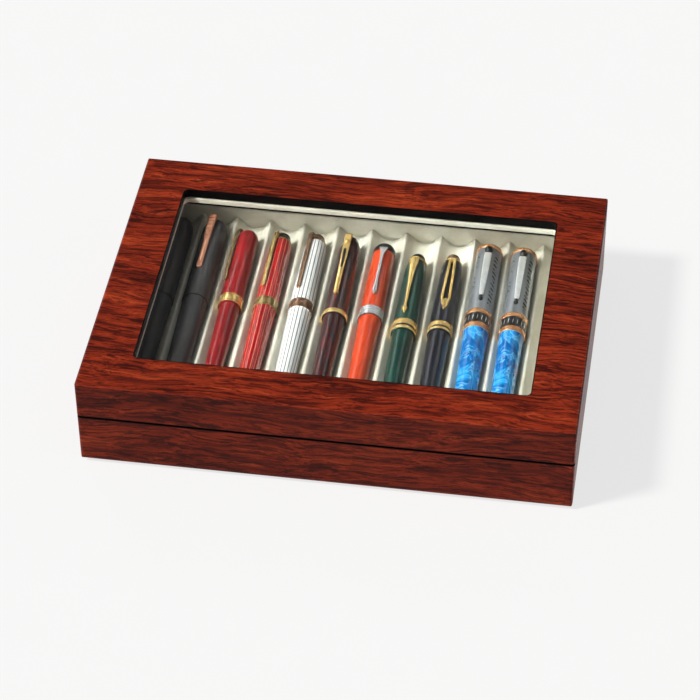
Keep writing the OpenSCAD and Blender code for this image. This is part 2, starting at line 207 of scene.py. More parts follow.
def board(lo, hi, radius):
    """A padded board: a box whose edges are all rounded by radius."""
    cx, cy = (lo[0] + hi[0]) / 2, (lo[1] + hi[1]) / 2
    width, depth = hi[0] - lo[0], hi[1] - lo[1]
    least_corner = 0.05
    loops = []
    for inset, z in soft_edges(lo[2], hi[2], radius):
        corner_r = max(least_corner, radius - inset + least_corner)
        loop = round_rect_loop(width - 2 * inset, depth - 2 * inset, corner_r, z, 4)
        loops.append([(x + cx, y + cy, height) for x, y, height in loop])
    return loft(loops)


def join(verts, faces, more):
    """Adds another mesh's points and faces to these."""
    more_verts, more_faces = more
    faces += [tuple(len(verts) + i for i in face) for face in more_faces]
    verts += more_verts


def box_mm(node):
    """The low and high corners of a CAD node, in millimetres."""
    return [[c / MM for c in corner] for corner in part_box(node)]


def stand_in(piece, node, body):
    """Puts a piece on a body in place of a CAD node, which is hidden."""
    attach(piece, body)
    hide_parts(node)


# ---- material helpers

class Shade:
    """One node material whose main shader is a Principled node."""

    def __init__(self, name, **settings):
        self.material = bpy.data.materials.new(name)
        self.material.use_nodes = True
        self.tree = self.material.node_tree
        self.main = self.tree.nodes["Principled BSDF"]
        self.output = self.tree.nodes["Material Output"]
        self.set(self.main, settings)
        self.coords = self.add("ShaderNodeTexCoord")
        self.point = self.add("ShaderNodeVectorMath", operation="SCALE",
                              Vector=self.coords.outputs["Object"], Scale=1 / MM).outputs[0]

    def set(self, node, settings):
        """Sockets by number, or by name with underscores for spaces: a value, or a node's output to link."""
        for key, value in settings.items():
            socket = node.inputs[key if isinstance(key, int) else key.replace("_", " ")]
            if isinstance(value, bpy.types.NodeSocket):
                self.tree.links.new(value, socket)
            else:
                socket.default_value = value

    def add(self, kind, sockets=None, **settings):
        """A node. Names in small letters are its properties, and the others its sockets."""
        node = self.tree.nodes.new(kind)
        for key, value in settings.items():
            if key[0].islower():
                setattr(node, key, value)
        self.set(node, {key: value for key, value in settings.items() if key[0].isupper()})
        self.set(node, sockets or {})
        return node

    def math(self, operation, a, b=0.0, clamp=False):
        """One operation on numbers or other nodes' outputs."""
        return self.add("ShaderNodeMath", {0: a, 1: b}, operation=operation, use_clamp=clamp).outputs[0]

    def times(self, a, b):
        """a multiplied by b."""
        return self.math("MULTIPLY", a, b)

    def apart(self, a, b):
        """How far a is from b, whichever is larger."""
        return self.math("ABSOLUTE", self.math("SUBTRACT", a, b))

    def vector(self, operation, a, b):
        """One operation on vectors or other nodes' outputs."""
        return self.add("ShaderNodeVectorMath", {0: a, 1: b}, operation=operation).outputs[0]

    def stretch(self, x=1.0, y=1.0, z=1.0, source=None, shift=(0, 0, 0)):
        """The point in millimetres, scaled and shifted."""
        return self.add("ShaderNodeMapping", Vector=source or self.point,
                        Scale=(x, y, z), Location=shift).outputs[0]

    def noise(self, vector, scale, detail=4.0, roughness=0.55, distortion=0.0):
        """Cloudy values around 0.5."""
        return self.add("ShaderNodeTexNoise", Vector=vector, Scale=scale, Detail=detail,
                        Roughness=roughness, Distortion=distortion).outputs["Fac"]

    def ramp(self, factor, stops):
        """Greys or colours at the stops' places, eased from one to the next."""
        node = self.add("ShaderNodeValToRGB", Fac=factor)
        node.color_ramp.interpolation = "EASE"
        elements = node.color_ramp.elements
        while len(elements) < len(stops):
            elements.new(0.5)
        for element, (position, colour) in zip(elements, stops):
            element.position = position
            element.color = grey(colour) if isinstance(colour, (int, float)) else (*colour, 1.0)
        return node.outputs["Color"]

    def mix(self, factor, a, b):
        """Colour a where the factor is 0, and b where it is 1."""
        node = self.add("ShaderNodeMix", data_type="RGBA")
        colour_a, colour_b = [s for s in node.inputs if s.type == "RGBA"]
        for socket, value in ((node.inputs[0], factor), (colour_a, a), (colour_b, b)):
            if isinstance(value, bpy.types.NodeSocket):
                self.tree.links.new(value, socket)
            elif socket.type == "RGBA":
                socket.default_value = (*value, 1.0)
            else:
                socket.default_value = value
        return [s for s in node.outputs if s.type == "RGBA"][0]

    def over(self, base, colour, field, start, end, amount=1.0):
        """The base with a colour laid over it: none where the field is at start, and amount of it at end."""
        return self.mix(self.ramp(field, sorted([(start, 0.0), (end, amount)])), base, colour)

    def surface(self, colour, field=None, span=0.0, least=0.0):
        """The main shader's colour, and its roughness if a field is given: least plus up to span."""
        self.set(self.main, {"Base_Color": colour})
        if field is not None:
            self.set(self.main, {"Roughness": self.math("ADD", self.times(field, span), least)})

    def bump(self, height, distance, strength):
        """Relief of that many millimetres on the main shader."""
        node = self.add("ShaderNodeBump", Height=height, Distance=distance * MM, Strength=strength)
        self.set(self.main, {"Normal": node.outputs[0]})

    def angle(self):
        """Angle round Z from 0 to 1."""
        parts = self.add("ShaderNodeSeparateXYZ", Vector=self.point)
        turn = self.math("ARCTAN2", parts.outputs["Y"], parts.outputs["X"])
        return self.math("ADD", self.math("DIVIDE", turn, TURN), 0.5)

    def height(self):
        """Height in millimetres."""
        return self.add("ShaderNodeSeparateXYZ", Vector=self.point).outputs["Z"]

    def upright(self):
        """0 on faces that look up or down, 1 on upright ones."""
        slope = self.add("ShaderNodeSeparateXYZ", Vector=self.coords.outputs["Normal"]).outputs["Z"]
        return self.ramp(self.math("ABSOLUTE", slope), [(0.5, 1.0), (0.9, 0.0)])


def grey(value):
    """An opaque grey."""
    return (value, value, value, 1.0)


def srgb(red, green, blue):
    """Linear colour from the 0 to 255 values that a screen shows."""
    return tuple((c / 255 / 12.92) if c <= 10 else ((c / 255 + 0.055) / 1.055) ** 2.4
                 for c in (red, green, blue))


# ---- materials

def rosewood(name, grain_along="X", shift=(0, 0, 0), depth=0.42, gloss=0.06, top_gloss=None):
    """Red-brown veneer with dark streaks along the grain, under satin lacquer.

    Depth paints shade on upright faces, darkening them, and the others may have a gloss of their own.
    """
    s = Shade(name, IOR=1.45, Specular_IOR_Level=0.6 * gloss, Coat_Weight=gloss, Coat_Roughness=0.12)
    turned = s.add("ShaderNodeMapping", Vector=s.point, Location=shift,
                   Rotation=(0, 0, 0 if grain_along == "X" else math.radians(90))).outputs[0]
    # The grain wanders: its lines bend by a few millimetres over a hand's width
    wander = s.add("ShaderNodeTexNoise", Vector=s.stretch(0.012, 0.022, 0.022, turned), Scale=1.0, Detail=2.0)
    drift = s.vector("SUBTRACT", wander.outputs["Color"], (0.5, 0.5, 0.5))
    along = s.vector("ADD", turned, s.vector("MULTIPLY", drift, (0.0, 20.0, 20.0)))
    ripple = s.add("ShaderNodeTexNoise", Vector=s.stretch(0.07, 0.16, 0.16, turned), Scale=1.0, Detail=2.0)
    grain = s.vector("ADD", along, s.vector("MULTIPLY", ripple.outputs["Color"], (0.0, 2.6, 2.6)))

    field = s.noise(s.stretch(0.010, 0.05, 0.05, grain), 1.0, 3.0)
    bands = s.noise(s.stretch(0.016, 0.26, 0.26, grain), 1.0, 4.0, 0.6)
    streaks = s.noise(s.stretch(0.036, 0.62, 0.62, grain, (7, 3, 1)), 1.0, 4.0, 0.62)
    threads = s.noise(s.stretch(0.06, 1.7, 1.7, grain, (1, 9, 4)), 1.0, 3.0, 0.62)
    pores = s.noise(s.stretch(0.14, 3.2, 3.2, grain, (5, 2, 8)), 1.0, 2.0, 0.5)

    base = s.ramp(field, [(0.30, srgb(112, 36, 20)), (0.52, srgb(142, 47, 26)), (0.72, srgb(170, 64, 34))])
    banded = s.over(base, srgb(84, 27, 18), bands, 0.46, 0.64, 0.85)
    lit = s.over(banded, srgb(190, 78, 42), bands, 0.46, 0.30, 0.5)
    dark = s.ramp(streaks, [(0.50, 0.0), (0.58, 0.86)])
    where = s.ramp(field, [(0.34, 1.0), (0.70, 0.6)])
    streaked = s.mix(s.times(dark, where), lit, srgb(42, 15, 13))
    fine = s.over(streaked, srgb(60, 18, 13), threads, 0.50, 0.62, 0.60)
    pored = s.over(fine, srgb(30, 10, 9), pores, 0.58, 0.68, 0.5)
    upright = s.upright()
    # Painted shade: depth darkens upright faces towards a deep brown, as if less light fell on them
    upright_shade_painted = s.mix(s.times(upright, depth), pored, srgb(40, 14, 12))
    # Painted shade darkens the edges that meet at the parting, up to about a millimetre from it, so that the
    # gap between the halves reads dark
    from_parting = s.math("DIVIDE", s.apart(s.height(), PARTING), 10.0)
    s.surface(s.over(upright_shade_painted, srgb(20, 8, 7), from_parting, 0.11, 0.085), streaks, 0.18, 0.4)
    if top_gloss is not None:
        less = s.times(upright, top_gloss - gloss)
        s.set(s.main, {"Coat_Weight": s.math("SUBTRACT", top_gloss, less)})
    s.bump(s.math("ADD", s.times(threads, 0.5), s.noise(s.point, 0.035, 2.0)), 0.05, 0.25)
    lacquer = s.add("ShaderNodeBump", Height=s.noise(s.point, 0.35, 2.0), Distance=0.004 * MM, Strength=0.6)
    s.set(s.main, {"Coat_Normal": lacquer.outputs[0]})
    return s.material


def velvet(name, colour, shade, sheen=0.45):
    """Short-napped cloth: soft patches where the nap leans, and a fine pile."""
    s = Shade(name, Sheen_Weight=sheen, Sheen_Roughness=0.35, Sheen_Tint=(*colour, 1.0),
              Specular_IOR_Level=0.2)
    lean = s.noise(s.stretch(1.0, 0.45, 1.0), 0.055, 4.0, 0.6)
    pile = s.noise(s.point, 2.6, 2.0, 0.7)
    tuft = s.noise(s.point, 0.9, 3.0, 0.6)
    soft = s.over(shade, colour, lean, 0.36, 0.66)
    naps = s.over(soft, shade, tuft, 0.58, 0.38, 0.35)
    s.surface(s.over(naps, shade, pile, 0.62, 0.35, 0.3), pile, 0.12, 0.84)
    s.bump(s.math("ADD", pile, s.times(tuft, 0.8)), 0.12, 0.5)
    return s.material


def metal(name, colour, shade, roughness=0.16, brushed=False):
    """Plated metal, with faint smudges and hairline scratches."""
    s = Shade(name, Metallic=0.7, IOR=1.5)
    smudge = s.noise(s.point, 0.22, 4.0, 0.6)
    scratch = s.noise(s.stretch(2.4, 2.4, 0.12 if brushed else 1.2), 1.6, 3.0, 0.6)
    wear = 0.1
    worn = s.math("ADD", s.times(smudge, wear), roughness - wear / 2)
    s.surface(s.over(colour, shade, smudge, 0.35, 0.70), scratch, 0.12 if brushed else 0.03, worn)
    s.bump(scratch, 0.012, 0.35 if brushed else 0.12)
    return s.material


def resin(name, colour, shade, streaks=0.0, streak_colour=(0, 0, 0), coat=0.4, roughness=0.34):
    """Polished pen resin or lacquer, its colour drifting between two tones, with streaks if asked."""
    s = Shade(name, IOR=1.5, Coat_Weight=coat, Coat_Roughness=0.06, Coat_IOR=1.5)
    drift = s.noise(s.stretch(0.5, 0.5, 0.12), 0.35, 4.0, 0.6, 0.6)
    body = s.over(shade, colour, drift, 0.32, 0.70)
    if streaks:
        lines = s.noise(s.stretch(1.5, 1.5, 0.10), 0.8, 5.0, 0.65, 0.5)
        body = s.over(body, streak_colour, lines, 0.50, 0.66, streaks)
    s.surface(body, s.noise(s.stretch(1.0, 1.0, 0.5), 0.9, 3.0), 0.12, roughness - 0.06)
    s.bump(s.noise(s.point, 0.5, 2.0), 0.004, 0.3)
    return s.material


def lined(name, colour, shade, line, count, width=0.2, metallic=0.0, roughness=0.25):
    """Lacquer or plate with fine lines along its length, at even angles round Z."""
    s = Shade(name, IOR=1.5, Metallic=metallic, Coat_Weight=0.0 if metallic else 0.4, Coat_Roughness=0.08)
    phase = s.math("FRACT", s.times(s.angle(), float(count)))
    stroke = s.ramp(s.apart(phase, 0.5), [(0.35 * width, 1.0), (0.65 * width, 0.0)])
    body = s.over(shade, colour, s.noise(s.stretch(0.5, 0.5, 0.1), 0.4, 4.0), 0.35, 0.7)
    mark = s.noise(s.stretch(1.0, 1.0, 0.5), 0.9, 3.0)
    s.surface(s.mix(stroke, body, line), mark, 0.14, roughness - 0.07)
    s.bump(stroke, -0.05, 0.7)
    return s.material


def marbled(name):
    """Swirled blue resin with flowing pale veins."""
    s = Shade(name, IOR=1.5, Coat_Weight=0.35, Coat_Roughness=0.08)
    swirl = s.add("ShaderNodeTexNoise", Vector=s.stretch(0.06, 0.06, 0.035), Scale=1.0, Detail=1.0)
    bent = s.vector("ADD", s.point, s.vector("MULTIPLY", swirl.outputs["Color"], (30.0, 30.0, 30.0)))
    clouds = s.noise(s.stretch(0.11, 0.11, 0.06, bent), 1.0, 2.0, 0.5, 0.6)
    veins = s.noise(s.stretch(0.16, 0.16, 0.08, bent, (3, 5, 2)), 1.0, 2.0, 0.5, 1.2)
    blue = s.ramp(clouds, [(0.32, srgb(0, 66, 130)), (0.45, srgb(0, 100, 172)),
                           (0.58, srgb(2, 130, 202)), (0.72, srgb(36, 160, 216))])
    pale = s.over(blue, srgb(120, 200, 234), s.apart(veins, 0.5), 0.05, 0.0, 0.5)
    s.surface(s.over(pale, srgb(0, 66, 128), veins, 0.42, 0.30, 0.8), veins, 0.1, 0.22)
    s.bump(s.noise(s.point, 0.5, 2.0), 0.004, 0.3)
    return s.material


def engraved(name):
    """Satin plated metal with plain marks along both flanks: slanted strokes on one, specks on the other."""
    s = Shade(name, Metallic=0.6, IOR=1.5)
    height = s.height()
    cap_l = 71.0
    stroke_pitch = 3.4
    # Degrees round the cap, 0 at its top and growing to its right
    round_by = s.times(s.math("SUBTRACT", s.angle(), 0.25), 360.0)
    wobble = s.times(s.noise(s.stretch(0.22, 0.22, 0.22), 1.0, 2.0), 2.2)
    row = s.math("ADD", s.math("ADD", s.times(round_by, 0.07), height), wobble)
    phase = s.math("FRACT", s.math("DIVIDE", row, stroke_pitch))
    stroke = s.ramp(s.apart(phase, 0.5), [(0.20, 1.0), (0.27, 0.0)])
    right = s.ramp(s.math("DIVIDE", s.apart(round_by, 43.0), 40.0), [(0.24, 1.0), (0.30, 0.0)])
    left = s.ramp(s.math("DIVIDE", s.apart(round_by, -46.0), 40.0), [(0.16, 1.0), (0.22, 0.0)])
    gaps = s.noise(s.stretch(0.42, 0.42, 0.3, shift=(4, 1, 6)), 1.0, 2.0)
    dots = s.noise(s.stretch(0.9, 0.9, 0.8, shift=(2, 7, 1)), 1.0, 1.0)
    share = s.math("DIVIDE", height, cap_l)
    ends = s.times(s.ramp(share, [(0.28, 0.0), (0.31, 1.0)]), s.ramp(share, [(0.90, 1.0), (0.93, 0.0)]))
    strokes = s.times(s.times(stroke, right), s.ramp(gaps, [(0.38, 0.0), (0.43, 1.0)]))
    specks = s.times(s.ramp(dots, [(0.56, 0.0), (0.60, 1.0)]), left)
    depth = s.times(s.math("ADD", strokes, specks, clamp=True), ends)
    smudge = s.noise(s.stretch(0.12, 0.12, 0.04), 1.0, 2.0)
    plate = s.mix(smudge, srgb(140, 143, 150), srgb(152, 155, 161))
    s.surface(s.mix(s.times(depth, 0.9), plate, srgb(26, 26, 32)), smudge, 0.06, 0.3)
    s.bump(depth, -0.09, 0.9)
    return s.material


def glass(name):
    """Clear float glass that lets lamplight through to what is under it."""
    s = Shade(name, Roughness=0.0, IOR=1.45, Transmission_Weight=1.0)
    s.surface(s.mix(s.noise(s.point, 0.05, 3.0), srgb(246, 250, 248), srgb(252, 254, 253)))
    clear = s.add("ShaderNodeBsdfTransparent", Color=(0.93, 0.95, 0.94, 1.0))
    rays = s.add("ShaderNodeLightPath")
    either = s.add("ShaderNodeMixShader", {1: s.main.outputs[0], 2: clear.outputs[0]},
                   Fac=rays.outputs["Is Shadow Ray"])
    s.set(s.output, {"Surface": either.outputs[0]})
    return s.material


def satin_black(name):
    """Black painted edge with faint brush marks."""
    s = Shade(name, IOR=1.45, Specular_IOR_Level=0.15)
    marks = s.noise(s.stretch(0.4, 0.4, 3.0), 0.8, 3.0)
    s.surface(s.mix(marks, srgb(5, 4, 4), srgb(14, 12, 12)), marks, 0.15, 0.28)
    s.bump(marks, 0.02, 0.3)
    return s.material


def plain_board(name):
    """Unfigured brown sealed board."""
    s = Shade(name, Roughness=0.6, IOR=1.45)
    fibre = s.noise(s.stretch(0.15, 1.4, 1.4), 1.0, 4.0, 0.6)
    s.surface(s.mix(fibre, srgb(92, 60, 40), srgb(128, 90, 62)))
    s.bump(fibre, 0.05, 0.4)
    return s.material


MATTE_BLACK = resin("matte_black_body", srgb(66, 64, 66), srgb(54, 52, 54), coat=0.0, roughness=0.5)
GLOSS_BLACK = resin("gloss_black_resin", srgb(24, 22, 24), srgb(15, 14, 16))
GOLD = metal("gold_plate", srgb(255, 222, 150), srgb(236, 190, 110), roughness=0.15)
OLD_GOLD = metal("old_gold_plate", srgb(198, 172, 116), srgb(150, 124, 78), roughness=0.2)
ROSE_GOLD = metal("rose_gold_plate", srgb(250, 184, 152), srgb(232, 150, 120), roughness=0.16)
BROWN_GOLD = metal("brown_gold_plate", srgb(168, 132, 106), srgb(122, 92, 72), roughness=0.24)
CHROME = metal("chrome_plate", srgb(236, 236, 240), srgb(212, 214, 220), roughness=0.14)
BRIGHT_SILVER = metal("bright_silver", srgb(255, 255, 255), srgb(242, 243, 248), roughness=0.32)
SILVER = metal("satin_silver", srgb(236, 238, 242), srgb(218, 220, 226), roughness=0.3, brushed=True)
COPPER = metal("copper_plate", srgb(224, 166, 118), srgb(190, 128, 84), roughness=0.22)
BRASS = metal("lacquered_brass", srgb(214, 174, 96), srgb(188, 146, 74), roughness=0.24, brushed=True)
SCREW_BRASS = metal("screw_brass", srgb(238, 208, 138), srgb(204, 166, 98), roughness=0.22)
DARK_METAL = metal("blackened_metal", srgb(66, 64, 66), srgb(40, 38, 40), roughness=0.34)
ENGRAVED = engraved("engraved_gunmetal")
MARBLED = marbled("marbled_blue_resin")
IVORY = velvet("ivory_velvet", srgb(231, 228, 217), srgb(208, 203, 188))
BLACK_FLOCK = velvet("black_flock", srgb(20, 18, 18), srgb(10, 9, 9), sheen=0.04)
BLACK_FELT = velvet("black_felt", srgb(36, 33, 33), srgb(22, 20, 20), sheen=0.15)


# ---- case

def paint(node, material):
    """Gives a carried-over CAD node its material."""
    mesh = nodes[node].data
    mesh.materials.clear()
    mesh.materials.append(material)


def dress_case():
    """The materials of the case's carried-over nodes."""
    # Each grain's depth is how much painted shade darkens its upright faces
    long_grain = rosewood("rosewood_long", shift=(130, 60, 0), depth=0.55, top_gloss=0.35)
    front_grain = rosewood("rosewood_front", shift=(20, 0, 35))
    side_grain = rosewood("rosewood_side", "Y", (40, 15, 5), 0.2, 0.2)
    for half in ("base", "lid"):
        for side in ("front", "back"):
            paint(f"{half}_{side}_wall", front_grain)
        for side in ("left", "right"):
            paint(f"{half}_{side}_wall", side_grain)
    paint("lid_top_panel", long_grain)
    paint("base_bottom_board", plain_board("sealed_board"))
    paint("window_edge_band", satin_black("black_edge"))
    paint("glass_pane", glass("clear_glass"))
    for node in ("hinge_base_leaves", "hinge_lid_leaves", "hinge_pins"):
        paint(node, BRASS)


def screw(turn):
    """A countersunk screw along Z, its slotted head flush with Z 0."""
    shank_r, head_r, head_t = 0.85, 1.85, 0.95
    slot_w, slot_depth = 0.5, 0.45
    seat_r = lerp(head_r, shank_r, slot_depth / head_t)
    under = [(0, -8.4), (0.4, -8.4), (shank_r, -7.6), (shank_r, -head_t),
             (seat_r, -slot_depth), (0, -slot_depth)]
    verts, faces = lathe(under, 32)
    # The two cheeks of the head, left and right of its slot: (radius, how far back from the slot, height)
    cheek = [(seat_r, 0.0, -slot_depth), (head_r - 0.12, 0.0, -0.12), (head_r - 0.26, 0.1, 0.0)]
    steps = 16
    for side in (0, math.pi):
        loops = []
        for r, inset, z in cheek:
            first = math.asin((slot_w / 2 + inset) / r)
            angles = [lerp(first, math.pi - first, i / steps) + side + turn for i in range(steps + 1)]
            loops.append([(r * math.cos(a), r * math.sin(a), z) for a in angles])
        join(verts, faces, loft(loops))
    return verts, faces


def slotted_screws(half):
    """The four screws of a row of hinge leaves, their heads in the leaves' countersinks."""
    node = f"hinge_{half}_screws"
    lo, hi = box_mm(node)
    head_r = (hi[2] - lo[2]) / 2
    middle = (lo[2] + hi[2]) / 2
    apart = 18.0
    verts, faces = [], []
    for i, x in enumerate((lo[0] + head_r, lo[0] + head_r + apart, hi[0] - head_r - apart, hi[0] - head_r)):
        points, sides = screw(math.radians(25 + 40 * i))
        join(verts, faces, ([(x + a, hi[1] + c, middle - b) for a, b, c in points], sides))
    stand_in(new_object(f"{node}_slotted", verts, faces, SCREW_BRASS), node, half)


def frame_boards(node, body, material):
    """Four padded boards in place of a node that lines the inside of a rectangle."""
    lo, hi = box_mm(node)
    thick = 3.0
    soft = 0.8
    sides = {
        "front": ((lo[0], lo[1]), (hi[0], lo[1] + thick)),
        "back": ((lo[0], hi[1] - thick), (hi[0], hi[1])),
        "left": ((lo[0], lo[1] + thick), (lo[0] + thick, hi[1] - thick)),
        "right": ((hi[0] - thick, lo[1] + thick), (hi[0], hi[1] - thick)),
    }
    for side, (a, b) in sides.items():
        shape = board((*a, lo[2]), (*b, hi[2]), soft)
        stand_in(new_object(f"{node}_{side}", *shape, material), node, body)


def padded_frame():
    """The velvet-covered frame under the glass, its edges soft where the cloth turns over."""
    lo, hi = box_mm("glass_retainer")
    window_lo, window_hi = box_mm("window_edge_band")
    outer = (hi[0] - lo[0], hi[1] - lo[1])
    opening = (window_hi[0] - window_lo[0], window_hi[1] - window_lo[1])
    soft = 0.9
    outer_r, corner_r = 0.5, 3.5
    loops = [round_rect_loop(*outer, outer_r, hi[2]), round_rect_loop(*outer, outer_r, lo[2])]
    for out, z in soft_edges(lo[2], hi[2], soft):
        loops.append(round_rect_loop(opening[0] + 2 * out, opening[1] + 2 * out, corner_r + out, z))
    piece = new_object("glass_retainer_velvet", *loft(loops, wrap=True), IVORY)
    stand_in(piece, "glass_retainer", "lid")


def felt_underside():
    """The felt pad, its cut edge a little rounded."""
    piece = new_object("felt_pad_cut", *board(*box_mm("felt_pad"), 0.4), BLACK_FELT)
    stand_in(piece, "felt_pad", "base")


# The tray's section, in millimetres, the same as the CAD's
GROOVES = 12
PITCH = 20.83
GROOVE_R = 8.2
GROOVE_FLOOR = 21.8
FLANK = math.radians(50)
RIDGE_R = 1.2
# Where the cloth tucks down at the end boards
TUCK_WIDTH = 1.6
TUCK_DEPTH = 1.1


def tray_height(x, edge):
    """Height of the velvet at a place across the grooves, and at a distance from the tray's end."""
    side = GROOVE_R * math.sin(FLANK)
    rise = GROOVE_R * (1 - math.cos(FLANK))
    flank_top = rise + (PITCH / 2 - side) * math.tan(FLANK)
    crown = flank_top - RIDGE_R * (1 / math.cos(FLANK) - 1) - RIDGE_R
    index = round(x / PITCH - 0.5) + 0.5
    index = max(-(GROOVES - 1) / 2, min((GROOVES - 1) / 2, index))
    dx = abs(x - index * PITCH)
    if dx < side:
        height = GROOVE_R - math.sqrt(GROOVE_R ** 2 - dx ** 2)
    elif PITCH / 2 - dx > RIDGE_R * math.sin(FLANK):
        height = rise + (dx - side) * math.tan(FLANK)
    else:
        height = crown + math.sqrt(max(0.0, RIDGE_R ** 2 - max(0.0, PITCH / 2 - dx) ** 2))
    tuck = min(1.0, max(0.0, 1 - edge / TUCK_WIDTH))
    return GROOVE_FLOOR + height - TUCK_DEPTH * (1 - math.sqrt(1 - tuck ** 2))


def velvet_tray():
    """The tray's velvet as one sheet over its former."""
    lo, hi = box_mm("pen_tray")
    column_w = 0.4
    columns = int((hi[0] - lo[0]) / column_w)
    xs = [lo[0] + i * (hi[0] - lo[0]) / columns for i in range(columns + 1)]
    tucked = [TUCK_WIDTH * (i / 6) ** 2 for i in range(7)]
    middle_rows = 44
    ys = [lo[1] + d for d in tucked]
    ys += [lerp(lo[1] + TUCK_WIDTH, hi[1] - TUCK_WIDTH, i / middle_rows) for i in range(1, middle_rows)]
    ys += [hi[1] - d for d in tucked[::-1]]
    verts = [(x, y, tray_height(x, min(y - lo[1], hi[1] - y))) for y in ys for x in xs]
    wide = len(xs)
    faces = []
    for j in range(len(ys) - 1):
        for i in range(wide - 1):
            a = j * wide + i
            faces.append((a, a + 1, a + wide + 1, a + wide))
    # A skirt down to the tray's base closes the sheet into a solid
    rim = list(range(wide))
    rim += [j * wide + wide - 1 for j in range(1, len(ys))]
    rim += [(len(ys) - 1) * wide + i for i in range(wide - 2, -1, -1)]
    rim += [j * wide for j in range(len(ys) - 2, 0, -1)]
    start = len(verts)
    verts += [(verts[k][0], verts[k][1], lo[2]) for k in rim]
    for i, k in enumerate(rim):
        n = (i + 1) % len(rim)
        faces.append((k, start + i, start + n, rim[n]))
    faces.append(tuple(start + i for i in range(len(rim)))[::-1])
    piece = new_object("pen_tray_velvet", verts, faces, IVORY, sharp=70)
    stand_in(piece, "pen_tray", "base")


# ---- pens

